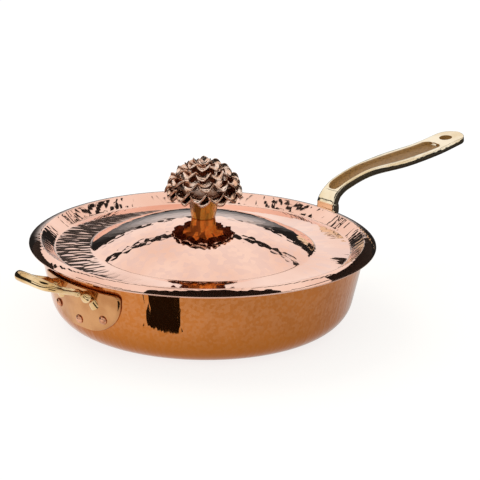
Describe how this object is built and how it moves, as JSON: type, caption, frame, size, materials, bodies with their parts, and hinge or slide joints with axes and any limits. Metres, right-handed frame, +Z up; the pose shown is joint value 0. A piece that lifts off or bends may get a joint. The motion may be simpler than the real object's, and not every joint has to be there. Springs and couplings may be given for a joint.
{
  "type": "saute pan",
  "caption": "Round flared copper saute pan with a riveted cast long handle, a riveted helper loop handle, and a lift-off domed lid topped by a petalled finial.",
  "frame": {"origin": "middle of the base's underside", "axes": "+Z up through the lid and finial, +X along the long handle, -X towards the helper handle"},
  "size_m": [0.535, 0.3046, 0.1437],
  "materials": {
    "hammered_copper": "hand hammered, bright",
    "polished_copper": "mirror polished with fine hammer marks",
    "cast_copper": "cast, darkened in the hollows",
    "rivet_copper": "polished",
    "cast_brass": "cast and polished"
  },
  "bodies": {
    "pan": {"pan_body": "hammered_copper", "long_handle": "cast_brass", "long_handle_rivet_1": "rivet_copper", "long_handle_rivet_2": "rivet_copper", "long_handle_rivet_3": "rivet_copper", "helper_handle": "cast_brass", "helper_handle_rivet_1": "rivet_copper", "helper_handle_rivet_2": "rivet_copper", "helper_handle_rivet_3": "rivet_copper"},
    "lid_group": {"lid": "polished_copper", "finial": "cast_copper", "finial_screw": "cast_brass", "finial_washer": "cast_brass"}
  },
  "joints": [
    {"name": "lid_lift", "type": "slide", "parent": "pan", "child": "lid_group", "axis": [0, 0, 1], "range_m": [0, 0.12]}
  ]
}
